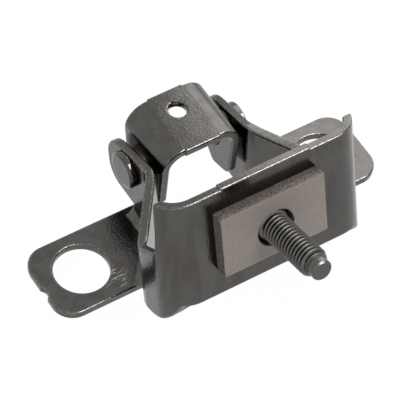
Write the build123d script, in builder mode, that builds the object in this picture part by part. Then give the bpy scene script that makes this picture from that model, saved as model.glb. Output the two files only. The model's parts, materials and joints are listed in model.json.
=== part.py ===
"""Tailgate hinge: a folded base bracket with a weld stud and a foam pad, and a clip on a pin.

The seating face of the two mounting tabs is the plane Z = 0, and the origin is midway between
their holes. The hinge axis runs along X, and the stud points forward (-Y) and a little up.
"""

from build123d import *
import os
from math import cos, radians, sin, tan

# Sheet metal
sheet = 2.5                 # thickness of both stampings
tab_bend = 2.8              # inside radius where a tab turns up into its side
clip_bend = 4.0             # inside radius of the clip's two bends

# Mounting tabs, flat on the seating plane
tab_span = 99.4             # end to end, along X
tab_depth = 23.0            # front edge to rear edge
tab_ahead = 0.3             # tabs' middle, forward of the hole centres
tab_corner = 6.0            # radius of the end corners
hole_spacing = 75.0         # between the two mounting holes
hole_radius = 7.5
nick_radius = 2.2           # nick that the shear left in the left tab's end
nick_depth = 0.9
nick_forward = 1.7          # and its distance forward of the hole centres

# Front wall, leaning back from the vertical. Its places are given in its own frame: forward is
# square to the wall, and up is along the wall.
wall_lean = 16.4            # degrees
wall_forward = 34.9         # front face, forward of the origin
wall_low = 6.3              # lower edge, up from the origin
wall_height = 32.8
wall_half_width = 29.9      # to the outside of the side flanges
wall_bend = 6.0             # inside radius of the bends into the side flanges
land_half_width = 13.4      # middle of the upper edge, which the shear left a little higher
land_rise = 0.5

# Side flanges, between the wall and the ears
flange_top_depth = 6.1      # reach behind the front face, at the top
flange_waist_depth = 6.9    # and where the rear edge turns into the notch
notch_top = 22.0            # up from the origin
notch_floor_forward = 17.3
notch_floor = 17.4
notch_round = 5.0
flare_angle = 40.0          # degrees, seen along the wall's up direction
flare_forward = 2.0         # where the ear's outer face starts to flare
flare_bend = 6.0            # radius of the outer face there
flange_bend = 5.5           # inside radius where the flare meets the flange
lobe_rear = 15.5            # the rounded lower corner of the flange: start of its lowest edge
lobe_forward = 22.0         # and its end
lobe_drop = 1.3             # below the origin
lobe_behind_face = 1.9      # where that corner leaves the wall's square lower edge
lobe_round = 6.0

# Ears
ear_top = 24.9              # up from the origin, in the wall's frame
ear_shoulder_forward = 2.5  # where the upper edge starts to fall towards the notch
ear_shoulder_round = 4.0
ear_rear = 18.6             # behind the origin, in the wall's frame
ear_round = 6.3             # radius of the two rear corners
relief_depth = 1.9          # the ear's lower edge is free this far inside the tab's rear edge
relief_rise = 0.2           # that edge, above the bend

# Pivot
pivot_back = 13.5           # behind the hole centres
pivot_height = 16.2         # above the seating plane
pin_radius = 3.0
running_clearance = 0.05    # radial, between the pin and the bushes
bush_wall = 1.0
bush_flange_radius = 4.8
side_gap = 1.8              # between a leg and its ear
flange_clearance = 0.3      # what the bush's flange leaves of that gap
pin_head_radius = 5.2
pin_head_height = 1.9
pin_head_side = 1.35        # height of its largest circle, where the shoulder starts
pin_head_face_radius = 4.0  # flat face inside the rounded shoulder
peened_head_radius = 4.8
peened_head_side = 1.8      # height of the peened head's edge
peened_head_height = 2.8    # and of its crown

# Clip: a channel, web up, that swings between the ears
clip_width = 24.0
clip_top = 28.1             # web's upper face above the seating plane
clip_front = 3.9            # web's front edge, behind the hole centres
clip_rear = 22.7            # web's rear edge
tongue_half_width = 5.3     # middle of the web's two edges, which the shear left proud
tongue_rise = 0.4
clip_hole_radius = 2.45
clip_hole_back = 16.3       # behind the hole centres
leg_toe = 8.0               # lower end of the leg's front edge, above the seating plane
leg_low = 5.6               # lowest corner of the leg
leg_low_back = 11.2         # and its distance behind the hole centres
leg_heel = 15.6             # upper end of the chamfer behind that corner
leg_heel_back = 21.4
leg_shoulder = 21.3         # where the rear edge turns straight up
leg_round = 2.5             # radius of these corners

# Weld stud
thread_radius = 4.0
stud_up_wall = 16.9         # its axis, up from the wall's lower edge
stud_aside = -0.6           # and along X
stud_length = 24.5          # from the front face to the tip
stud_collar_radius = 4.85
stud_collar_height = 3.0
stud_collar_edge = 0.4
dog_point_radius = 2.85
dog_point_length = 2.1
dog_point_taper = 2.0       # length over which the last turns run out to it
tip_edge = 0.4

# Foam pad
pad_width = 30.9
pad_height = 18.6
pad_thickness = 3.8
pad_hole_radius = 5.3
pad_aside = -0.3            # pad's centre from the stud's axis
pad_above = 0.8

# Planes that everything is placed on
wall_frame = Plane.XY.rotated((-wall_lean, 0, 0))
forward = -wall_frame.y_dir
side_view = Plane(origin=(0, 0, 0), x_dir=forward, z_dir=(-1, 0, 0))
stud_base = (
    Vector(stud_aside, 0, 0)
    + forward * wall_forward
    + wall_frame.z_dir * (wall_low + stud_up_wall)
)
stud_face = Plane(origin=stud_base, x_dir=(1, 0, 0), z_dir=forward)
stud_section = Plane(origin=stud_base, x_dir=forward, z_dir=(1, 0, 0))
pivot_axis = Axis((0, pivot_back, pivot_height), (1, 0, 0))
pivot_side = Plane(origin=pivot_axis.position, x_dir=(0, 1, 0), z_dir=(1, 0, 0))
pivot_section = Plane(origin=pivot_axis.position, x_dir=(1, 0, 0), z_dir=(0, -1, 0))

# Widths, from the clip outwards
leg_outside = clip_width / 2
leg_inside = leg_outside - sheet
ear_inside = leg_outside + side_gap
ear_outside = ear_inside + sheet
flange_inside = wall_half_width - sheet
bush_bore = pin_radius + running_clearance
leg_hole = bush_bore + bush_wall
bush_flange = side_gap - flange_clearance

# Places that follow from them
lean = radians(wall_lean)
half_flare = radians(flare_angle) / 2
flare_start = flare_forward + sheet * tan(half_flare)
flare_end = flare_start + (flange_inside - ear_inside) / tan(2 * half_flare)
wall_inside = wall_forward - sheet
wall_top = wall_low + wall_height
tab_front = -tab_ahead - tab_depth / 2
tab_rear = -tab_ahead + tab_depth / 2
ear_low = sheet + tab_bend + relief_rise
ear_foot = tab_rear - relief_depth
reach = 2 * tab_span        # longer than anything it cuts


def side_point(back, height=0.0):
    """Return the side-view place of a point given by its distance back and its height."""
    return (
        height * sin(lean) - back * cos(lean),
        height * cos(lean) + back * sin(lean),
    )


# Base bracket: one blank folded into the wall, two flanges, two ears and two tabs
with BuildPart() as base_bracket:
    # What the fold encloses, seen along the wall's up direction
    with BuildSketch(wall_frame) as hollow:
        with BuildLine():
            FilletPolyline(
                (-ear_inside, reach),
                (-ear_inside, -flare_start),
                (-flange_inside, -flare_end),
                (-flange_inside, -wall_inside),
                (flange_inside, -wall_inside),
                (flange_inside, -flare_end),
                (ear_inside, -flare_start),
                (ear_inside, reach),
                radius=(0, flare_bend + sheet, flange_bend, wall_bend,
                        wall_bend, flange_bend, flare_bend + sheet, 0),
                close=True,
            )
        make_face()

    # The folded strip around it
    with BuildSketch(wall_frame) as strip:
        offset(hollow.sketch, amount=sheet)
        add(hollow.sketch, mode=Mode.SUBTRACT)
    extrude(strip.sketch, amount=reach, both=True)

    # The blank's outline, seen from the side
    with BuildSketch(side_view) as outline:
        with BuildLine():
            edge = FilletPolyline(
                (wall_forward - lobe_behind_face, wall_low),
                (wall_forward, wall_low),
                (wall_forward, wall_top + land_rise),
                (wall_inside, wall_top + land_rise),
                (wall_inside, wall_top),
                (wall_forward - flange_top_depth, wall_top),
                (wall_forward - flange_waist_depth, notch_top),
                (notch_floor_forward, notch_floor),
                (ear_shoulder_forward, ear_top),
                (-ear_rear, ear_top),
                (-ear_rear, (ear_low + ear_rear * sin(lean)) / cos(lean)),
                side_point(ear_foot, ear_low),
                side_point(ear_foot),
                side_point(tab_front),
                (lobe_rear, -lobe_drop),
                (lobe_forward, -lobe_drop),
                radius=(0, 0, 0, 0, 0, notch_round, notch_round, ear_shoulder_round,
                        ear_round, ear_round, 0, 0, 0, lobe_round),
            )
            TangentArc(edge @ 1, edge @ 0, tangent=edge % 1)
        make_face()
    extrude(outline.sketch, amount=reach, both=True, mode=Mode.INTERSECT)

    # Tabs, from the sides outwards
    with BuildSketch() as tabs:
        with Locations((0, -tab_ahead)):
            Rectangle(tab_span, tab_depth)
        fillet(tabs.vertices(), radius=tab_corner)
        with GridLocations(hole_spacing, 1, 2, 1):
            Circle(hole_radius, mode=Mode.SUBTRACT)
        with Locations((-tab_span / 2 + nick_depth - nick_radius, -nick_forward)):
            Circle(nick_radius, mode=Mode.SUBTRACT)
    extrude(tabs.sketch, amount=sheet)
    extrude(hollow.sketch, amount=reach, both=True, mode=Mode.SUBTRACT)

    # Pin holes through the ears
    with BuildSketch(pivot_side) as pin_hole:
        Circle(pin_radius)
    extrude(pin_hole.sketch, amount=reach, both=True, mode=Mode.SUBTRACT)

    # The land between the shear steps of the wall's upper edge
    with BuildSketch(wall_frame.offset(wall_top)) as beside_land:
        with GridLocations(2 * (land_half_width + wall_half_width), 1, 2, 1):
            Rectangle(2 * wall_half_width, 2 * wall_forward)
    extrude(beside_land.sketch, amount=land_rise, mode=Mode.SUBTRACT)

    # Inside radius of the bends between tabs and sides
    bends = (
        base_bracket.edges()
        .filter_by_position(Axis.Z, sheet, sheet)
        .filter_by(Axis.X, reverse=True)
        .filter_by(lambda bend: ear_inside < abs((bend @ 0.5).X) < flange_inside)
        .filter_by(lambda bend: tab_front < (bend @ 0.5).Y < ear_foot)
    )
    fillet(bends, radius=tab_bend)

base_bracket.part.label = "base_bracket"

# Clip bracket: a channel bent from one blank
with BuildPart() as clip_bracket:
    with BuildSketch(Plane.XZ) as channel:
        with BuildLine():
            FilletPolyline(
                (-leg_outside, 0),
                (-leg_outside, clip_top),
                (leg_outside, clip_top),
                (leg_outside, 0),
                radius=clip_bend + sheet,
            )
            offset(amount=sheet, side=Side.RIGHT)
        make_face()
    extrude(channel.sketch, amount=-reach)

    # Its outline, seen from the side
    with BuildSketch(Plane.YZ) as leg_outline:
        with BuildLine():
            FilletPolyline(
                (clip_front, clip_top),
                (clip_front, leg_toe),
                (leg_low_back, leg_low),
                (leg_heel_back, leg_heel),
                (clip_rear, leg_shoulder),
                (clip_rear, clip_top),
                radius=(0, leg_round, leg_round, leg_round, leg_round, 0),
                close=True,
            )
        make_face()
    extrude(leg_outline.sketch, amount=reach, both=True, mode=Mode.INTERSECT)

    # The web's proud middle, and its hole
    with BuildSketch(Plane.XY.offset(clip_top - sheet)) as tongue:
        with Locations((0, (clip_front + clip_rear) / 2)):
            Rectangle(2 * tongue_half_width, clip_rear - clip_front + 2 * tongue_rise)
    extrude(tongue.sketch, amount=sheet)
    with Locations((0, clip_hole_back, clip_top)):
        Hole(clip_hole_radius)

    # Bush holes through the legs
    with BuildSketch(pivot_side) as bush_hole:
        Circle(leg_hole)
    extrude(bush_hole.sketch, amount=reach, both=True, mode=Mode.SUBTRACT)

clip_bracket.part.label = "clip_bracket"

# Hinge pin: a flat head at the left ear, peened over at the right
with BuildPart() as hinge_pin:
    with BuildSketch(pivot_section):
        with BuildLine():
            shank = Polyline(
                (-ear_outside - pin_head_side, pin_head_radius),
                (-ear_outside, pin_head_radius),
                (-ear_outside, pin_radius),
                (ear_outside, pin_radius),
                (ear_outside, peened_head_radius),
                (ear_outside + peened_head_side, peened_head_radius),
            )
            crown = TangentArc(
                (ear_outside + peened_head_height, 0), shank @ 1,
                tangent=(0, 1), tangent_from_first=True,
            )
            shoulder = TangentArc(
                (-ear_outside - pin_head_height, pin_head_face_radius), shank @ 0,
                tangent=(0, 1),
            )
            Polyline(shoulder @ 0, (-ear_outside - pin_head_height, 0), crown @ 0)
        make_face()
    revolve(axis=pivot_axis)

hinge_pin.part.label = "hinge_pin"

# Flanged bushes, pressed into the legs from outside
with BuildPart() as pivot_bush_right:
    with BuildSketch(pivot_side.offset(leg_inside)) as sleeve:
        Circle(leg_hole)
    extrude(sleeve.sketch, amount=sheet)
    with BuildSketch(pivot_side.offset(leg_outside)) as flange:
        Circle(bush_flange_radius)
    extrude(flange.sketch, amount=bush_flange)
    with BuildSketch(pivot_side) as bore:
        Circle(bush_bore)
    extrude(bore.sketch, amount=reach, mode=Mode.SUBTRACT)

with BuildPart() as pivot_bush_left:
    add(mirror(pivot_bush_right.part, about=Plane.YZ))

pivot_bush_right.part.label = "pivot_bush_right"
pivot_bush_left.part.label = "pivot_bush_left"

# Weld stud: a collar on the wall, the threaded shank and a dog point
with BuildPart() as weld_stud:
    with BuildSketch(stud_section):
        with BuildLine():
            Polyline(
                (0, 0),
                (0, stud_collar_radius),
                (stud_collar_height - stud_collar_edge, stud_collar_radius),
                (stud_collar_height, stud_collar_radius - stud_collar_edge),
                (stud_collar_height, thread_radius),
                (stud_length - dog_point_length - dog_point_taper, thread_radius),
                (stud_length - dog_point_length, dog_point_radius),
                (stud_length - tip_edge, dog_point_radius),
                (stud_length, dog_point_radius - tip_edge),
                (stud_length, 0),
                close=True,
            )
        make_face()
    revolve(axis=Axis(stud_base, forward))

weld_stud.part.label = "weld_stud"

# Foam pad, glued to the wall around the stud
with BuildPart() as foam_pad:
    with BuildSketch(stud_face) as pad:
        with Locations((pad_aside, pad_above)):
            Rectangle(pad_width, pad_height)
        Circle(pad_hole_radius, mode=Mode.SUBTRACT)
    extrude(pad.sketch, amount=pad_thickness)

foam_pad.part.label = "foam_pad"

os.makedirs("parts", exist_ok=True)
for piece in (base_bracket, clip_bracket, hinge_pin, pivot_bush_left, pivot_bush_right,
              weld_stud, foam_pad):
    export_step(piece.part, f"parts/{piece.part.label}.step")
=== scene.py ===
"""Looks of the tailgate hinge: coated stampings, threaded weld stud, foam pad and the studio."""

import json
import logging
import math
from dataclasses import dataclass, field
from enum import Enum

import bmesh
import bpy
from mathutils import Matrix, Vector, noise
from mathutils.bvhtree import BVHTree


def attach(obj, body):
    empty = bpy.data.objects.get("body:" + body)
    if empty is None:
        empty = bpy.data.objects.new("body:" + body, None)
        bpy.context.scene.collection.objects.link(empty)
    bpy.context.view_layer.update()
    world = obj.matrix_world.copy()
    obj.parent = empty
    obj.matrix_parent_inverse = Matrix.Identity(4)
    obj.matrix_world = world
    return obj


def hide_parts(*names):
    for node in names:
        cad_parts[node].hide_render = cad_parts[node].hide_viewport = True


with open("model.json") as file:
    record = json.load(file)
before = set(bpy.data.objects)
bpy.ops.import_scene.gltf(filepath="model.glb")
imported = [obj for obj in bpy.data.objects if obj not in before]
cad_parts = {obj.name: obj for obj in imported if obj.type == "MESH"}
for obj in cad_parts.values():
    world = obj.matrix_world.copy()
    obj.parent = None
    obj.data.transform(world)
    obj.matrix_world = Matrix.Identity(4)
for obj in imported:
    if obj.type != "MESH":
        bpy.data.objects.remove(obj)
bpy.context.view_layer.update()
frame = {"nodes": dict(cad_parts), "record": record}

MM = 0.001
LOG = logging.getLogger("tailgate_hinge")

# Points closer than this, in metres, are one point
MERGE_WITHIN = 1e-6
# A rounding takes up this share of a narrow face beside its edge
NARROW_SHARE = 0.4
# Material slots that only tell a bevel's new faces from the old ones
SHEET_SLOT = 0
ROUNDING_SLOT = 1

Socket = bpy.types.NodeSocket
Operand = float | bpy.types.NodeSocket


class Body(Enum):
    """The two bodies that the pieces ride on."""

    BASE = "base"
    CLIP = "clip"


class Slot(Enum):
    """Material slots of the record."""

    BLACK_COAT = "black_coat"
    PIN_COAT = "pin_coat"
    BUSH = "bush"
    STUD = "stud"
    FOAM = "foam"


class Mount(Enum):
    """Mounts of the record that place a piece."""

    STUD = "stud"


# Shader node groups


def new_group(
    name: str, inputs: dict[str, tuple], outputs: dict[str, str]
) -> tuple[bpy.types.NodeTree, bpy.types.Node, bpy.types.Node]:
    """Make an empty shader node group with its sockets.

    Args:
        name: Name of the group.
        inputs: Socket type and default value by input name.
        outputs: Socket type by output name.

    Returns:
        The group, its input node and its output node.
    """
    group = bpy.data.node_groups.new(name, "ShaderNodeTree")
    for label, (kind, value) in inputs.items():
        socket = group.interface.new_socket(label, in_out="INPUT", socket_type=kind)
        if value is not None:
            socket.default_value = value
    for label, kind in outputs.items():
        group.interface.new_socket(label, in_out="OUTPUT", socket_type=kind)
    return group, group.nodes.new("NodeGroupInput"), group.nodes.new("NodeGroupOutput")


def noise_node(
    group: bpy.types.NodeTree, vector: Socket, scale: Operand, detail: float, roughness: float
) -> bpy.types.Node:
    """Add a noise texture to a group.

    Args:
        group: Node tree that takes it.
        vector: Socket with the coordinates.
        scale: A number, or the socket that gives the scale.
        detail: Octaves.
        roughness: Share of each finer octave.

    Returns:
        The node.
    """
    node = group.nodes.new("ShaderNodeTexNoise")
    node.inputs["Detail"].default_value = detail
    node.inputs["Roughness"].default_value = roughness
    if isinstance(scale, float):
        node.inputs["Scale"].default_value = scale
    else:
        group.links.new(scale, node.inputs["Scale"])
    group.links.new(vector, node.inputs["Vector"])
    return node


def math_node(
    group: bpy.types.NodeTree, operation: str, first: Operand, second: Operand
) -> Socket:
    """Add a math node, each operand a number or a socket, and return its output."""
    node = group.nodes.new("ShaderNodeMath")
    node.operation = operation
    for slot, operand in zip(node.inputs, (first, second)):
        if isinstance(operand, float):
            slot.default_value = operand
        else:
            group.links.new(operand, slot)
    return node.outputs[0]


def ramp_node(group: bpy.types.NodeTree, value: Socket, low: float, high: float) -> Socket:
    """Add a smooth step of a value from low to high and return its output."""
    node = group.nodes.new("ShaderNodeMapRange")
    node.interpolation_type = "SMOOTHSTEP"
    node.inputs["From Min"].default_value = low
    node.inputs["From Max"].default_value = high
    group.links.new(value, node.inputs["Value"])
    return node.outputs["Result"]


def make_orange_peel() -> bpy.types.NodeTree:
    """Fine ripple of a dipped coat, as height, with broad patches for colour and gloss."""
    group, given, put = new_group(
        "orange_peel",
        {
            "Vector": ("NodeSocketVector", None),
            "Ripple Scale": ("NodeSocketFloat", 1500.0),
            "Grain Scale": ("NodeSocketFloat", 3200.0),
            "Grain Share": ("NodeSocketFloat", 0.3),
        },
        {"Height": "NodeSocketFloat", "Patches": "NodeSocketFloat"},
    )
    vector = given.outputs["Vector"]
    ripple = noise_node(group, vector, given.outputs["Ripple Scale"], detail=2.0, roughness=0.5)
    grain = noise_node(group, vector, given.outputs["Grain Scale"], detail=3.0, roughness=0.6)
    fine = math_node(group, "MULTIPLY", grain.outputs[0], given.outputs["Grain Share"])
    height = math_node(group, "ADD", ripple.outputs[0], fine)
    patches = noise_node(group, vector, scale=85.0, detail=3.0, roughness=0.55)
    group.links.new(height, put.inputs["Height"])
    group.links.new(patches.outputs[0], put.inputs["Patches"])
    return group


def make_scuffs() -> bpy.types.NodeTree:
    """Short fine scratches inside a round patch, as a mask."""
    group, given, put = new_group(
        "scuffs",
        {
            "Vector": ("NodeSocketVector", None),
            "Place": ("NodeSocketVector", (0.0, 0.0, 0.0)),
            "Reach": ("NodeSocketFloat", 0.004),
            "Threshold": ("NodeSocketFloat", 0.57),
        },
        {"Mask": "NodeSocketFloat"},
    )
    away = group.nodes.new("ShaderNodeVectorMath")
    away.operation = "DISTANCE"
    group.links.new(given.outputs["Vector"], away.inputs[0])
    group.links.new(given.outputs["Place"], away.inputs[1])
    near = math_node(group, "DIVIDE", away.outputs["Value"], given.outputs["Reach"])
    inside = ramp_node(group, near, low=1.0, high=0.35)
    stretch = group.nodes.new("ShaderNodeMapping")
    stretch.inputs["Rotation"].default_value = (0.0, 0.0, math.radians(35))
    stretch.inputs["Scale"].default_value = (0.16, 1.0, 1.0)
    group.links.new(given.outputs["Vector"], stretch.inputs["Vector"])
    lines = noise_node(
        group, stretch.outputs["Vector"], scale=2600.0, detail=2.0, roughness=0.6
    )
    over = math_node(group, "SUBTRACT", lines.outputs[0], given.outputs["Threshold"])
    sharp = ramp_node(group, over, low=0.0, high=0.05)
    group.links.new(math_node(group, "MULTIPLY", inside, sharp), put.inputs["Mask"])
    return group


def make_dust() -> bpy.types.NodeTree:
    """Sparse pale specks, as a mask."""
    group, given, put = new_group(
        "dust",
        {
            "Vector": ("NodeSocketVector", None),
            "Scale": ("NodeSocketFloat", 1500.0),
            "Share": ("NodeSocketFloat", 0.72),
        },
        {"Mask": "NodeSocketFloat"},
    )
    specks = noise_node(
        group, given.outputs["Vector"], given.outputs["Scale"], detail=1.0, roughness=0.5
    )
    over = math_node(group, "SUBTRACT", specks.outputs[0], given.outputs["Share"])
    group.links.new(ramp_node(group, over, low=0.0, high=0.04), put.inputs["Mask"])
    return group


def make_foam_cells() -> bpy.types.NodeTree:
    """Open cells of cut foam, as height and as a pore mask, which carries a painted shade."""
    group, given, put = new_group(
        "foam_cells",
        {
            "Vector": ("NodeSocketVector", None),
            "Cell Scale": ("NodeSocketFloat", 2500.0),
            "Cut": ("NodeSocketFloat", 0.0),
        },
        {"Height": "NodeSocketFloat", "Pores": "NodeSocketFloat"},
    )
    vector = given.outputs["Vector"]
    cells = group.nodes.new("ShaderNodeTexVoronoi")
    cells.feature = "F1"
    group.links.new(vector, cells.inputs["Vector"])
    group.links.new(given.outputs["Cell Scale"], cells.inputs["Scale"])
    open_cell = ramp_node(group, cells.outputs["Distance"], low=0.62, high=0.2)
    size = noise_node(group, vector, scale=900.0, detail=2.0, roughness=0.6)
    big = ramp_node(group, size.outputs[0], low=0.34, high=0.56)
    skin = noise_node(group, vector, scale=2600.0, detail=3.0, roughness=0.7)
    grain = ramp_node(group, skin.outputs[0], low=0.47, high=0.56)
    pores = math_node(group, "MAXIMUM", math_node(group, "MULTIPLY", open_cell, big), grain)
    cut_pores = math_node(group, "MULTIPLY", pores, given.outputs["Cut"])
    skin_height = math_node(group, "MULTIPLY", skin.outputs[0], 0.25)
    group.links.new(math_node(group, "SUBTRACT", skin_height, cut_pores), put.inputs["Height"])
    group.links.new(cut_pores, put.inputs["Pores"])
    return group


def make_streaks() -> bpy.types.NodeTree:
    """Soft upright streaks of painted reflection, as a mask."""
    group, given, put = new_group(
        "streaks",
        {
            "Vector": ("NodeSocketVector", None),
            "Scale": ("NodeSocketFloat", 300.0),
            "Stretch": ("NodeSocketVector", (1.0, 1.0, 0.07)),
        },
        {"Mask": "NodeSocketFloat"},
    )
    stretched = group.nodes.new("ShaderNodeVectorMath")
    stretched.operation = "MULTIPLY"
    group.links.new(given.outputs["Vector"], stretched.inputs[0])
    group.links.new(given.outputs["Stretch"], stretched.inputs[1])
    reflection_streaks = noise_node(
        group, stretched.outputs["Vector"], given.outputs["Scale"], detail=2.0, roughness=0.5
    )
    mask = ramp_node(group, reflection_streaks.outputs[0], low=0.4, high=0.68)
    group.links.new(mask, put.inputs["Mask"])
    return group


class Effects:
    """The shader groups that the finishes share, each built once."""

    def __init__(self) -> None:
        """Build the groups."""
        self.orange_peel = make_orange_peel()
        self.scuffs = make_scuffs()
        self.dust = make_dust()
        self.streaks = make_streaks()
        self.foam_cells = make_foam_cells()


class MaterialTree:
    """A material's nodes, with the joins that every finish needs."""

    def __init__(self, name: str) -> None:
        """Start a material with one Principled shader and the object's coordinates."""
        self.material = bpy.data.materials.new(name)
        self.material.use_nodes = True
        self.tree = self.material.node_tree
        self.shader = self.tree.nodes["Principled BSDF"]
        self.place = self.tree.nodes.new("ShaderNodeTexCoord").outputs["Object"]

    def effect(self, group: bpy.types.NodeTree, **values) -> bpy.types.Node:
        """Place a shared group.

        Args:
            group: The node group.
            **values: Numbers, tuples or sockets by input name, spaces as underscores.

        Returns:
            The group's node.
        """
        node = self.tree.nodes.new("ShaderNodeGroup")
        node.node_tree = group
        self.tree.links.new(self.place, node.inputs["Vector"])
        for label, value in values.items():
            target = node.inputs[label.replace("_", " ")]
            if isinstance(value, bpy.types.NodeSocket):
                self.tree.links.new(value, target)
            else:
                target.default_value = value
        return node

    def mix(self, mask: Socket, first: tuple | Socket, second: tuple | Socket) -> Socket:
        """Mix two colours, each a tuple or a socket, by a mask and return the output."""
        node = self.tree.nodes.new("ShaderNodeMix")
        node.data_type = "RGBA"
        self.tree.links.new(mask, node.inputs["Factor"])
        for socket, colour in ((node.inputs[6], first), (node.inputs[7], second)):
            if isinstance(colour, tuple):
                socket.default_value = (*colour, 1.0)
            else:
                self.tree.links.new(colour, socket)
        return node.outputs[2]

    def between(self, mask: Socket, low: float, high: float) -> Socket:
        """Turn a mask from 0 to 1 into a value from low to high."""
        node = self.tree.nodes.new("ShaderNodeMapRange")
        node.inputs["To Min"].default_value = low
        node.inputs["To Max"].default_value = high
        self.tree.links.new(mask, node.inputs["Value"])
        return node.outputs["Result"]

    def bump(self, height: Socket, distance: float, strength: float) -> None:
        """Drive the shader's normal by a height, in metres for a height of one."""
        node = self.tree.nodes.new("ShaderNodeBump")
        node.inputs["Distance"].default_value = distance
        node.inputs["Strength"].default_value = strength
        self.tree.links.new(height, node.inputs["Height"])
        self.tree.links.new(node.outputs["Normal"], self.shader.inputs["Normal"])

    def attribute(self, name: str) -> Socket:
        """Read a value that the piece stores on its points or faces."""
        node = self.tree.nodes.new("ShaderNodeAttribute")
        node.attribute_name = name
        return node.outputs["Fac"]

    def drive(self, label: str, source: Socket) -> None:
        """Link a socket to one of the shader's inputs."""
        self.tree.links.new(source, self.shader.inputs[label])


@dataclass(frozen=True)
class CoatFinish:
    """Black dip coat over steel, which mirrors its surroundings softly."""

    name: str
    tone: tuple[float, float, float] = (0.105, 0.1, 0.095)
    patch_tone: tuple[float, float, float] = (0.087, 0.084, 0.079)
    # Darker upright streaks: a painted reflection
    streak_reflection_tone: tuple[float, float, float] = (0.08, 0.075, 0.071)
    metallic: float = 1.0
    gloss_low: float = 0.14
    gloss_high: float = 0.24
    ripple: float = 1.0
    ripple_depth: float = 0.00005
    scuff_place: tuple[float, float, float] = (-0.0313, -0.0065, 0.0025)
    scuff_reach: float = 0.0045
    scuff_tone: tuple[float, float, float] = (0.405, 0.396, 0.383)
    dust_tone: tuple[float, float, float] = (0.15, 0.142, 0.13)
    # Paler flecks on the rounded edges, a painted glint
    edge_glint_tone: tuple[float, float, float] = (0.16, 0.152, 0.141)
    fleck_scale: float = 2400.0
    fleck_share: float = 0.5
    rounded_mark: str = "rounded"

    def build(self, effects: Effects) -> bpy.types.Material:
        """Build the material from the shared effects."""
        made = MaterialTree(self.name)
        peel = made.effect(effects.orange_peel)
        scuffs = made.effect(
            effects.scuffs, Place=self.scuff_place, Reach=self.scuff_reach
        )
        dust = made.effect(effects.dust)
        coat = made.mix(peel.outputs["Patches"], self.tone, self.patch_tone)
        # Darker upright streaks paint a streaky reflection into the coat
        reflection_streaks = made.effect(effects.streaks)
        coat = made.mix(reflection_streaks.outputs["Mask"], coat, self.streak_reflection_tone)
        # Paler flecks on the rounded edges: painted glints in the coat's colour
        flecks = made.effect(effects.dust, Scale=self.fleck_scale, Share=self.fleck_share)
        rounded = made.attribute(self.rounded_mark)
        painted_glints = math_node(made.tree, "MULTIPLY", rounded, flecks.outputs["Mask"])
        coat = made.mix(painted_glints, coat, self.edge_glint_tone)
        worn = made.mix(scuffs.outputs["Mask"], coat, self.scuff_tone)
        made.drive("Base Color", made.mix(dust.outputs["Mask"], worn, self.dust_tone))
        made.drive(
            "Roughness", made.between(peel.outputs["Patches"], self.gloss_low, self.gloss_high)
        )
        made.shader.inputs["Metallic"].default_value = self.metallic
        made.bump(peel.outputs["Height"], self.ripple_depth, self.ripple)
        return made.material


@dataclass(frozen=True)
class ThreadFinish:
    """Black coat, with painted shade in the thread's roots; the crests, the collar and the tip
    keep a paler tone.
    """

    name: str = "stud_coat"
    # Painted shade in the thread's roots
    root_shade_tone: tuple[float, float, float] = (0.03, 0.029, 0.027)
    crest_tone: tuple[float, float, float] = (0.11, 0.107, 0.102)
    grain_share: float = 0.6
    gloss_low: float = 0.22
    gloss_high: float = 0.34
    metallic: float = 1.0
    ripple: float = 0.3
    ripple_depth: float = 0.000015
    crest_mark: str = "crest"

    def build(self, effects: Effects) -> bpy.types.Material:
        """Build the material from the shared effects."""
        made = MaterialTree(self.name)
        peel = made.effect(effects.orange_peel, Grain_Share=self.grain_share)
        crest = made.attribute(self.crest_mark)
        # Painted shade in the thread's roots, fading out toward the crests
        made.drive("Base Color", made.mix(crest, self.root_shade_tone, self.crest_tone))
        made.drive(
            "Roughness", made.between(peel.outputs["Patches"], self.gloss_low, self.gloss_high)
        )
        made.shader.inputs["Metallic"].default_value = self.metallic
        made.bump(peel.outputs["Height"], self.ripple_depth, self.ripple)
        return made.material


@dataclass(frozen=True)
class FoamFinish:
    """Taupe foam with a smooth skin and open cells on its cut sides."""

    name: str = "taupe_foam"
    tone: tuple[float, float, float] = (0.43, 0.377, 0.338)
    dark_tone: tuple[float, float, float] = (0.293, 0.255, 0.226)
    # Painted shade in the open cells
    pore_shade_tone: tuple[float, float, float] = (0.125, 0.106, 0.091)
    grain_scale: float = 3000.0
    grain_share: float = 0.6
    grain_low: float = 0.4
    grain_high: float = 1.2
    rough_low: float = 0.62
    rough_high: float = 0.8
    specular: float = 0.3
    cell_height: float = 0.00025
    cell_strength: float = 0.8
    cut_mark: str = "cut"

    def build(self, effects: Effects) -> bpy.types.Material:
        """Build the material from the shared effects."""
        made = MaterialTree(self.name)
        cells = made.effect(effects.foam_cells, Cut=made.attribute(self.cut_mark))
        peel = made.effect(
            effects.orange_peel, Ripple_Scale=self.grain_scale, Grain_Share=self.grain_share
        )
        grain = ramp_node(made.tree, peel.outputs["Height"], self.grain_low, self.grain_high)
        foam = made.mix(grain, self.tone, self.dark_tone)
        # The pores take a painted shade
        made.drive("Base Color", made.mix(cells.outputs["Pores"], foam, self.pore_shade_tone))
        made.drive(
            "Roughness", made.between(peel.outputs["Patches"], self.rough_low, self.rough_high)
        )
        made.shader.inputs["Specular IOR Level"].default_value = self.specular
        made.bump(cells.outputs["Height"], self.cell_height, self.cell_strength)
        return made.material


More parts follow.
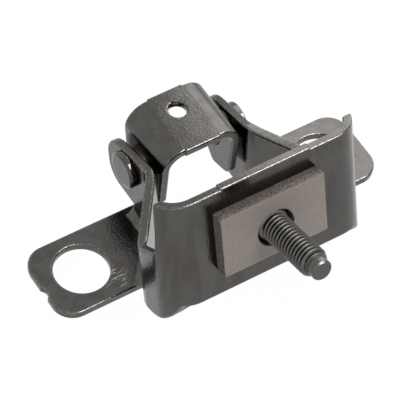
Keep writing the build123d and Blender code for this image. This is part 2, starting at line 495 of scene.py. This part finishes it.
@dataclass(frozen=True)
class BushFinish:
    """Dark bearing bronze with overspray of the coat."""

    name: str = "bush_bronze"
    tone: tuple[float, float, float] = (0.07, 0.055, 0.035)
    coated_tone: tuple[float, float, float] = (0.03, 0.028, 0.026)
    gloss_low: float = 0.3
    gloss_high: float = 0.5
    metallic: float = 1.0
    ripple: float = 0.3
    ripple_depth: float = 0.00001

    def build(self, effects: Effects) -> bpy.types.Material:
        """Build the material from the shared effects."""
        made = MaterialTree(self.name)
        peel = made.effect(effects.orange_peel)
        made.drive(
            "Base Color", made.mix(peel.outputs["Patches"], self.tone, self.coated_tone)
        )
        made.drive(
            "Roughness", made.between(peel.outputs["Patches"], self.gloss_low, self.gloss_high)
        )
        made.shader.inputs["Metallic"].default_value = self.metallic
        made.bump(peel.outputs["Height"], self.ripple_depth, self.ripple)
        return made.material


# Modelling


def deselect_all() -> None:
    """Leave edit mode, if it is on, and select nothing."""
    if bpy.context.object and bpy.context.object.mode != "OBJECT":
        bpy.ops.object.mode_set(mode="OBJECT")
    bpy.ops.object.select_all(action="DESELECT")


def activate(piece: bpy.types.Object) -> None:
    """Make a piece the only selected and the active object."""
    deselect_all()
    piece.select_set(True)
    bpy.context.view_layer.objects.active = piece


def apply_modifier(piece: bpy.types.Object, kind: str, **settings) -> None:
    """Add a modifier with its settings and apply it.

    Args:
        piece: The object.
        kind: Modifier type.
        **settings: Its properties by name.
    """
    activate(piece)
    modifier = piece.modifiers.new(kind.lower(), kind)
    for label, value in settings.items():
        setattr(modifier, label, value)
    bpy.ops.object.modifier_apply(modifier=modifier.name)


def merged_copy(node: str, name: str, flat_angle: float = 0.4) -> bpy.types.Object:
    """Copy a CAD node's mesh, merge it and clear the edges inside its flat faces.

    Args:
        node: The CAD node.
        name: Name of the new piece.
        flat_angle: Edges that turn less than this, in degrees, are cleared.

    Returns:
        The new piece.
    """
    piece = bpy.data.objects.new(name, frame["nodes"][node].data.copy())
    bpy.context.scene.collection.objects.link(piece)
    activate(piece)
    bpy.ops.mesh.customdata_custom_splitnormals_clear()
    bpy.ops.object.mode_set(mode="EDIT")
    bpy.ops.mesh.select_all(action="SELECT")
    bpy.ops.mesh.remove_doubles(threshold=MERGE_WITHIN)
    bpy.ops.mesh.dissolve_limited(angle_limit=math.radians(flat_angle))
    bpy.ops.object.mode_set(mode="OBJECT")
    return piece


def mark_edges(piece: bpy.types.Object, width: float, angle: float) -> None:
    """Weight the sharp edges for the bevel, less where a face beside them is narrow.

    Args:
        piece: The object.
        width: Width of the rounding, in metres.
        angle: Edges that turn more than this, in radians, are rounded.
    """
    shape = bmesh.new()
    shape.from_mesh(piece.data)
    weight = shape.edges.layers.float.new("bevel_weight_edge")
    for edge in shape.edges:
        if len(edge.link_faces) == 2 and edge.calc_face_angle() > angle:
            narrow = min(face_width(face, edge) for face in edge.link_faces)
            edge[weight] = min(1.0, NARROW_SHARE * narrow / width)
    shape.to_mesh(piece.data)
    shape.free()


def face_width(face: bmesh.types.BMFace, edge: bmesh.types.BMEdge) -> float:
    """Return how far a face reaches from the line of one of its edges."""
    start = edge.verts[0].co
    along = (edge.verts[1].co - start).normalized()
    offsets = (vertex.co - start for vertex in face.verts)
    return max((offset - offset.dot(along) * along).length for offset in offsets)


def round_edges(piece: bpy.types.Object, width: float, segments: int, angle: float,
                mark: str) -> None:
    """Round the sharp edges of a piece and smooth its curved faces.

    Args:
        piece: The object.
        width: Width of the rounding, in metres.
        segments: Faces across it.
        angle: Edges that turn more than this, in degrees, are rounded.
        mark: Name of the attribute that says which faces are a rounding.
    """
    bpy.ops.object.shade_smooth()
    piece.data.materials.clear()
    for _ in (SHEET_SLOT, ROUNDING_SLOT):
        piece.data.materials.append(None)
    pressed = BVHTree.FromPolygons(
        [vertex.co.copy() for vertex in piece.data.vertices],
        [tuple(face.vertices) for face in piece.data.polygons],
    )
    mark_edges(piece, width, math.radians(angle))
    apply_modifier(
        piece, "BEVEL", width=width, segments=segments, limit_method="WEIGHT",
        use_clamp_overlap=False, material=ROUNDING_SLOT,
    )
    rounded = [float(face.material_index) for face in piece.data.polygons]
    stored = piece.data.attributes.new(mark, "FLOAT", "FACE")
    stored.data.foreach_set("value", rounded)
    piece.data.polygons.foreach_set("material_index", [SHEET_SLOT] * len(rounded))
    # A point that the bevel threw clear of the part goes back to its surface
    for vertex in piece.data.vertices:
        nearest, _, _, away = pressed.find_nearest(vertex.co)
        if away > width / 2:
            vertex.co = nearest
    apply_modifier(piece, "WEIGHTED_NORMAL", mode="FACE_AREA", weight=50)


def dress(piece: bpy.types.Object, material: bpy.types.Material) -> None:
    """Give a whole piece one material."""
    piece.data.materials.clear()
    piece.data.materials.append(material)


def hand_over(piece: bpy.types.Object, body: Body, slot: Slot, *nodes: str) -> None:
    """Let a piece stand for CAD nodes and ride on their body.

    Args:
        piece: The finished piece.
        body: Its body.
        slot: The record's material slot; not used.
        *nodes: CAD nodes that it replaces.
    """
    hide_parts(*nodes)
    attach(piece, body.value)
    LOG.info("%s: %d faces on %s", piece.name, len(piece.data.polygons), body.value)


@dataclass
class Stamping:
    """A pressed sheet part, made from its CAD node with rolled-over sheared edges."""

    node: str
    body: Body
    slot: Slot
    edge_round: float = 0.6 * MM
    edge_segments: int = 4
    edge_angle: float = 38.0

    def build(self, material: bpy.types.Material, mark: str) -> bpy.types.Object:
        """Build, dress and place the part.

        Args:
            material: Its finish.
            mark: Name of the attribute that says which faces are a rounding.

        Returns:
            The part.
        """
        piece = merged_copy(self.node, f"{self.node}_pressed")
        round_edges(piece, self.edge_round, self.edge_segments, self.edge_angle, mark)
        dress(piece, material)
        hand_over(piece, self.body, self.slot, self.node)
        return piece


@dataclass
class WeldStud:
    """Collar, helical thread and dog point, turned on Z and then set on the stud's mount."""

    node: str = "weld_stud"
    collar_radius: float = 4.85 * MM
    collar_height: float = 3.0 * MM
    collar_edge: float = 0.4 * MM
    pitch: float = 1.25 * MM
    thread_depth: float = 0.767 * MM
    crest_flat: float = 0.08 * MM
    crest_round: float = 0.05 * MM
    root_flat: float = 0.12 * MM
    seat: float = 0.02 * MM
    taper_length: float = 2.0 * MM
    dog_radius: float = 2.85 * MM
    dog_length: float = 2.1 * MM
    tip_edge: float = 0.4 * MM
    # Levels of the tip and the collar between the painted root shade at 0 and the crest tone at
    # 1
    tip_level: float = 0.92
    collar_level: float = 0.95
    tip_level_start: float = 0.25
    smooth_angle: float = 34.0
    turns_below: int = 2
    spare_turns: int = 3
    steps: int = 72
    mount: dict = field(init=False)

    def __post_init__(self) -> None:
        """Read the thread's place and size from the record."""
        self.mount = next(
            m for m in frame["record"]["mounts"] if m["name"] == Mount.STUD.value
        )
        self.radius = self.mount["dims"]["r_mm"] * MM
        self.length = self.mount["dims"]["length_mm"] * MM
        self.root = self.radius - self.thread_depth

    def envelope(self, height: float) -> float:
        """Return the largest radius at a height above the collar."""
        along = max(0.0, height - self.length) / self.taper_length
        return self.radius - min(1.0, along) * (self.radius - self.dog_radius)

    def turned_body(self) -> bpy.types.Object:
        """Turn the collar, the core under the thread and the dog point."""
        core = self.root - self.seat
        share = (self.radius - core) / (self.radius - self.dog_radius)
        core_end = self.length + share * self.taper_length
        dog_start = self.length + self.taper_length
        tip = dog_start + self.dog_length
        profile = (
            (-self.collar_height, self.collar_radius),
            (-self.collar_edge, self.collar_radius),
            (0.0, self.collar_radius - self.collar_edge),
            (self.collar_edge, core),
            (core_end, core),
            (dog_start, self.dog_radius),
            (tip - self.tip_edge, self.dog_radius),
            (tip, self.dog_radius - self.tip_edge),
        )
        deselect_all()
        bottom, first = profile[0]
        bpy.ops.mesh.primitive_circle_add(
            vertices=self.steps, radius=first, fill_type="NGON", location=(0, 0, bottom)
        )
        body = bpy.context.object
        body.name = f"{self.node}_threaded"
        bpy.ops.object.transform_apply()
        bpy.ops.object.mode_set(mode="EDIT")
        bpy.ops.mesh.select_all(action="SELECT")
        height, radius = bottom, first
        for next_height, next_radius in profile[1:]:
            bpy.ops.mesh.extrude_region_move(
                TRANSFORM_OT_translate={"value": (0, 0, next_height - height)}
            )
            scale = next_radius / radius
            bpy.ops.transform.resize(value=(scale, scale, 1.0))
            height, radius = next_height, next_radius
        bpy.ops.mesh.select_all(action="SELECT")
        bpy.ops.mesh.normals_make_consistent(inside=False)
        bpy.ops.object.mode_set(mode="OBJECT")
        return body

    def thread(self) -> bpy.types.Object:
        """Wind one tooth of the thread into its helix, run out at the dog point."""
        flank = (self.pitch - 2 * self.root_flat - 2 * self.crest_flat) / 2
        slope = flank - self.crest_round
        tooth = (
            (0.0, 0.0),
            (self.root_flat, 0.0),
            (slope, self.thread_depth - self.crest_round),
            (self.crest_round, self.crest_round),
            (2 * self.crest_flat, 0.0),
            (self.crest_round, -self.crest_round),
            (slope, self.crest_round - self.thread_depth),
            (self.root_flat, 0.0),
        )
        deselect_all()
        bpy.ops.mesh.primitive_plane_add(size=self.pitch)
        coil = bpy.context.object
        bpy.ops.object.mode_set(mode="EDIT")
        bpy.ops.mesh.select_all(action="SELECT")
        bpy.ops.mesh.merge(type="CENTER")
        bpy.ops.transform.translate(value=(self.root, 0, -self.turns_below * self.pitch))
        for rise, out in tooth[1:]:
            bpy.ops.mesh.extrude_region_move(
                TRANSFORM_OT_translate={"value": (out, 0, rise)}
            )
        bpy.ops.object.mode_set(mode="OBJECT")
        turns = math.ceil((self.length + self.taper_length) / self.pitch) + self.spare_turns
        apply_modifier(
            coil, "SCREW", axis="Z", angle=2 * math.pi, screw_offset=self.pitch,
            iterations=turns, steps=self.steps, render_steps=self.steps,
            use_merge_vertices=True, merge_threshold=MERGE_WITHIN,
        )
        for vertex in coil.data.vertices:
            place = vertex.co
            limit = self.envelope(place.z)
            radius = math.hypot(place.x, place.y)
            if radius > limit:
                place.x, place.y = place.x * limit / radius, place.y * limit / radius
        activate(coil)
        bpy.ops.object.mode_set(mode="EDIT")
        end = self.length + self.taper_length - self.crest_round
        for height, side in ((-self.collar_edge, -1), (end, 1)):
            bpy.ops.mesh.select_all(action="SELECT")
            bpy.ops.mesh.bisect(
                plane_co=(0, 0, height), plane_no=(0, 0, side), clear_outer=True
            )
        bpy.ops.mesh.select_all(action="SELECT")
        bpy.ops.mesh.remove_doubles(threshold=MERGE_WITHIN)
        bpy.ops.mesh.fill_holes(sides=0)
        bpy.ops.mesh.select_all(action="SELECT")
        bpy.ops.mesh.normals_make_consistent(inside=False)
        bpy.ops.object.mode_set(mode="OBJECT")
        return coil

    def mark_crests(self, piece: bpy.types.Object, mark: str) -> None:
        """Store each point's height above the thread's root, which sets the painted shade in the
        roots, and fixed levels for the collar and the tip.
        """
        values = []
        for vertex in piece.data.vertices:
            above = math.hypot(vertex.co.x, vertex.co.y) - self.root
            if vertex.co.z > self.length + self.taper_length * self.tip_level_start:
                values.append(self.tip_level)
            elif vertex.co.z > self.collar_edge:
                values.append(max(0.0, above / self.thread_depth))
            else:
                values.append(self.collar_level)
        crest = piece.data.attributes.new(mark, "FLOAT", "POINT")
        crest.data.foreach_set("value", values)

    def build(self, material: bpy.types.Material, mark: str) -> bpy.types.Object:
        """Build, dress and place the stud.

        Args:
            material: Its finish.
            mark: Name of the crest attribute that the finish reads.

        Returns:
            The stud.
        """
        coil = self.thread()
        piece = self.turned_body()
        deselect_all()
        coil.select_set(True)
        piece.select_set(True)
        bpy.context.view_layer.objects.active = piece
        bpy.ops.object.join()
        self.mark_crests(piece, mark)
        axis = Vector(self.mount["axis"])
        start = Vector(self.mount["pos_m"]) - axis * self.length / 2
        turn = axis.to_track_quat("Z", "Y").to_matrix().to_4x4()
        piece.data.transform(Matrix.Translation(start) @ turn)
        activate(piece)
        bpy.ops.object.shade_smooth_by_angle(angle=math.radians(self.smooth_angle))
        dress(piece, material)
        hand_over(piece, Body.BASE, Slot.STUD, self.node)
        return piece


@dataclass
class FoamPad:
    """Die-cut foam: crisp smooth skin, cells open on the cut sides and in the hole."""

    node: str = "foam_pad"
    voxel: float = 0.2 * MM
    cell: float = 0.55 * MM
    cell_depth: float = 0.18 * MM
    skin_depth: float = 0.03 * MM
    side_limit: float = 0.6
    fine_ratio: float = 2.6
    fine_share: float = 0.5

    def build(self, material: bpy.types.Material, mark: str) -> bpy.types.Object:
        """Build, dress and place the pad.

        Args:
            material: Its finish.
            mark: Name of the attribute that says where the foam is cut.

        Returns:
            The pad.
        """
        piece = merged_copy(self.node, f"{self.node}_cut")
        apply_modifier(piece, "REMESH", mode="VOXEL", voxel_size=self.voxel)
        axis = Vector(WeldStud().mount["axis"])
        normals = [vertex.normal.copy() for vertex in piece.data.vertices]
        cut = [1.0 if abs(n.dot(axis)) < self.side_limit else 0.0 for n in normals]
        for vertex, normal, share in zip(piece.data.vertices, normals, cut):
            cell = noise.noise(vertex.co / self.cell)
            fine = noise.noise(vertex.co * self.fine_ratio / self.cell)
            depth = self.cell_depth if share else self.skin_depth
            vertex.co -= normal * depth * (abs(cell) + self.fine_share * abs(fine))
        stored = piece.data.attributes.new(mark, "FLOAT", "POINT")
        stored.data.foreach_set("value", cut)
        activate(piece)
        bpy.ops.object.shade_smooth()
        dress(piece, material)
        hand_over(piece, Body.BASE, Slot.FOAM, self.node)
        return piece


@dataclass(frozen=True)
class LampCard:
    """A lamp card that faces the origin, and the rays that see it."""

    name: str
    place: tuple[float, float, float]
    size: tuple[float, float]
    radiance: float
    along_x: bool = True
    diffuse: bool = True
    glossy: bool = True


@dataclass
class Studio:
    """Floor, lamps, world and camera."""

    camera_place: tuple[float, float, float] = (-0.26073, -0.32928, 0.57916)
    camera_turn: tuple[float, float, float] = (2.4474, -0.6747, 0.3222)
    frame_pixels: float = 400.0
    focal_pixels: float = 2700.0
    sensor: float = 36.0
    clip_near: float = 0.01
    clip_far: float = 20.0
    floor_size: float = 6.0
    floor_drop: float = 0.0004
    floor_tone: tuple[float, float, float] = (0.8, 0.8, 0.8)
    floor_share: float = 0.99
    floor_roughness: float = 0.9
    world_level: float = 0.14
    web_point: tuple[float, float, float] = (0.004, 0.013, 0.028)
    web_card_distance: float = 0.09
    web_card_size: tuple[float, float] = (0.14, 0.09)
    web_card_radiance: float = 2.1
    lamps: tuple[LampCard, ...] = (
        LampCard("softbox_top", (0.2, -0.25, 0.5), (0.32, 0.22), 4.5),
        LampCard("card_glint", (0.18, -0.225, 0.45), (0.34, 0.24), 8.0, diffuse=False),
        LampCard("softbox_front", (-0.2, -0.6, 0.3), (0.5, 0.4), 0.6),
        LampCard("key_back", (0.6, 0.36, 0.4), (0.3, 0.3), 24.0, along_x=False, glossy=False),
        LampCard("fill_left", (-0.5, 0.5, 0.35), (0.3, 0.3), 20.0, along_x=False, glossy=False),
    )

    def camera(self) -> bpy.types.Object:
        """Set the camera at the photo's angle."""
        lens = bpy.data.cameras.new("camera")
        lens.sensor_width = self.sensor
        lens.lens = self.sensor * self.focal_pixels / self.frame_pixels
        lens.clip_start = self.clip_near
        lens.clip_end = self.clip_far
        camera = bpy.data.objects.new("camera", lens)
        bpy.context.scene.collection.objects.link(camera)
        turn = Vector(self.camera_turn)
        looking = Matrix.Rotation(turn.length, 3, turn.normalized()).transposed()
        facing = looking @ Matrix.Diagonal((1.0, -1.0, -1.0))
        camera.matrix_world = Matrix.Translation(self.camera_place) @ facing.to_4x4()
        bpy.context.scene.camera = camera
        return camera

    def mirrored_view(self, normal: Vector) -> Vector:
        """Return the direction that a face with this normal mirrors to the camera."""
        view = Vector(self.camera_place).normalized()
        return (2 * normal.dot(view) * normal - view).normalized()

    def card(self, name: str, place: Vector, target: Vector, size: tuple[float, float],
             radiance: float, side: Vector) -> bpy.types.Object:
        """Hang a lamp card that faces a target.

        Args:
            name: Its name.
            place: Its centre.
            target: What it faces.
            size: Width and height, in metres.
            radiance: Its strength, before it is scaled to the card's area.
            side: Direction of its width.

        Returns:
            The lamp.
        """
        light = bpy.data.lights.new(name, "AREA")
        light.shape = "RECTANGLE"
        light.size, light.size_y = size
        light.energy = radiance * math.pi * size[0] * size[1]
        lamp = bpy.data.objects.new(name, light)
        bpy.context.scene.collection.objects.link(lamp)
        back = (place - target).normalized()
        across = (side - side.dot(back) * back).normalized()
        up = back.cross(across)
        lamp.matrix_world = Matrix.Translation(place) @ Matrix(
            (across, up, back)
        ).transposed().to_4x4()
        lamp.visible_camera = False
        return lamp

    def floor(self) -> bpy.types.Object:
        """Lay the floor: nearly all white glow to camera, gloss and transmission rays."""
        deselect_all()
        bpy.ops.mesh.primitive_plane_add(
            size=self.floor_size, location=(0, 0, -self.floor_drop)
        )
        floor = bpy.context.object
        floor.name = "floor"
        made = MaterialTree("pale_floor")
        made.shader.inputs["Base Color"].default_value = (*self.floor_tone, 1.0)
        made.shader.inputs["Roughness"].default_value = self.floor_roughness
        nodes, links = made.tree.nodes, made.tree.links
        glow = nodes.new("ShaderNodeEmission")
        path = nodes.new("ShaderNodeLightPath")
        mirrored = math_node(
            made.tree, "MAXIMUM", path.outputs["Is Glossy Ray"],
            path.outputs["Is Transmission Ray"],
        )
        seen = math_node(made.tree, "MAXIMUM", path.outputs["Is Camera Ray"], mirrored)
        share = math_node(made.tree, "MULTIPLY", seen, self.floor_share)
        mixed = nodes.new("ShaderNodeMixShader")
        links.new(share, mixed.inputs[0])
        links.new(made.shader.outputs[0], mixed.inputs[1])
        links.new(glow.outputs[0], mixed.inputs[2])
        links.new(mixed.outputs[0], nodes["Material Output"].inputs["Surface"])
        dress(floor, made.material)
        return floor

    def world(self) -> None:
        """White to camera, gloss and transmission rays, and a soft grey fill otherwise."""
        world = bpy.data.worlds.new("studio")
        world.use_nodes = True
        bpy.context.scene.world = world
        tree = world.node_tree
        path = tree.nodes.new("ShaderNodeLightPath")
        seen = math_node(
            tree, "MAXIMUM", path.outputs["Is Camera Ray"], path.outputs["Is Glossy Ray"]
        )
        seen = math_node(tree, "MAXIMUM", seen, path.outputs["Is Transmission Ray"])
        level = tree.nodes.new("ShaderNodeMapRange")
        level.inputs["To Min"].default_value = self.world_level
        level.inputs["To Max"].default_value = 1.0
        tree.links.new(seen, level.inputs["Value"])
        background = tree.nodes["Background"]
        background.inputs["Color"].default_value = (1.0, 1.0, 1.0, 1.0)
        tree.links.new(level.outputs["Result"], background.inputs["Strength"])

    def web_card(self) -> bpy.types.Object:
        """Hang the card that the right half of the clip's web mirrors."""
        across = Vector((1.0, 0.0, 0.0))
        top_view = self.mirrored_view(Vector((0.0, 0.0, 1.0)))
        side = (across - across.dot(top_view) * top_view).normalized()
        edge = Vector(self.web_point) + top_view * self.web_card_distance
        centre = edge + side * self.web_card_size[0] / 2
        return self.card(
            "card_right", centre, centre - top_view, self.web_card_size,
            self.web_card_radiance, side,
        )

    def build(self) -> None:
        """Set up the whole studio."""
        self.floor()
        self.world()
        self.camera()
        self.web_card()
        for planned in self.lamps:
            place = Vector(planned.place)
            side = Vector((1.0, 0.0, 0.0))
            if not planned.along_x:
                side = place.cross(Vector((0.0, 0.0, 1.0)))
            lamp = self.card(
                planned.name, place, Vector(), planned.size, planned.radiance, side
            )
            lamp.visible_diffuse = planned.diffuse
            lamp.visible_glossy = planned.glossy
        bpy.context.scene.view_settings.view_transform = "Standard"


def main() -> None:
    """Build every piece, then the studio."""
    logging.basicConfig(level=logging.INFO, format="%(name)s %(message)s")
    effects = Effects()
    coat_finish = CoatFinish("black_coat")
    coat = coat_finish.build(effects)
    pin_coat = CoatFinish("pin_coat", ripple=0.3).build(effects)
    rounded = coat_finish.rounded_mark
    thread_finish, foam_finish = ThreadFinish(), FoamFinish()
    Stamping("base_bracket", Body.BASE, Slot.BLACK_COAT).build(coat, rounded)
    Stamping("clip_bracket", Body.CLIP, Slot.BLACK_COAT).build(coat, rounded)
    pin = Stamping("hinge_pin", Body.BASE, Slot.PIN_COAT, edge_round=0.4 * MM)
    pin.build(pin_coat, rounded)
    WeldStud().build(thread_finish.build(effects), thread_finish.crest_mark)
    FoamPad().build(foam_finish.build(effects), foam_finish.cut_mark)
    bronze = BushFinish().build(effects)
    for node in ("pivot_bush_left", "pivot_bush_right"):
        dress(frame["nodes"][node], bronze)
    Studio().build()


if __name__ == "__main__":
    main()
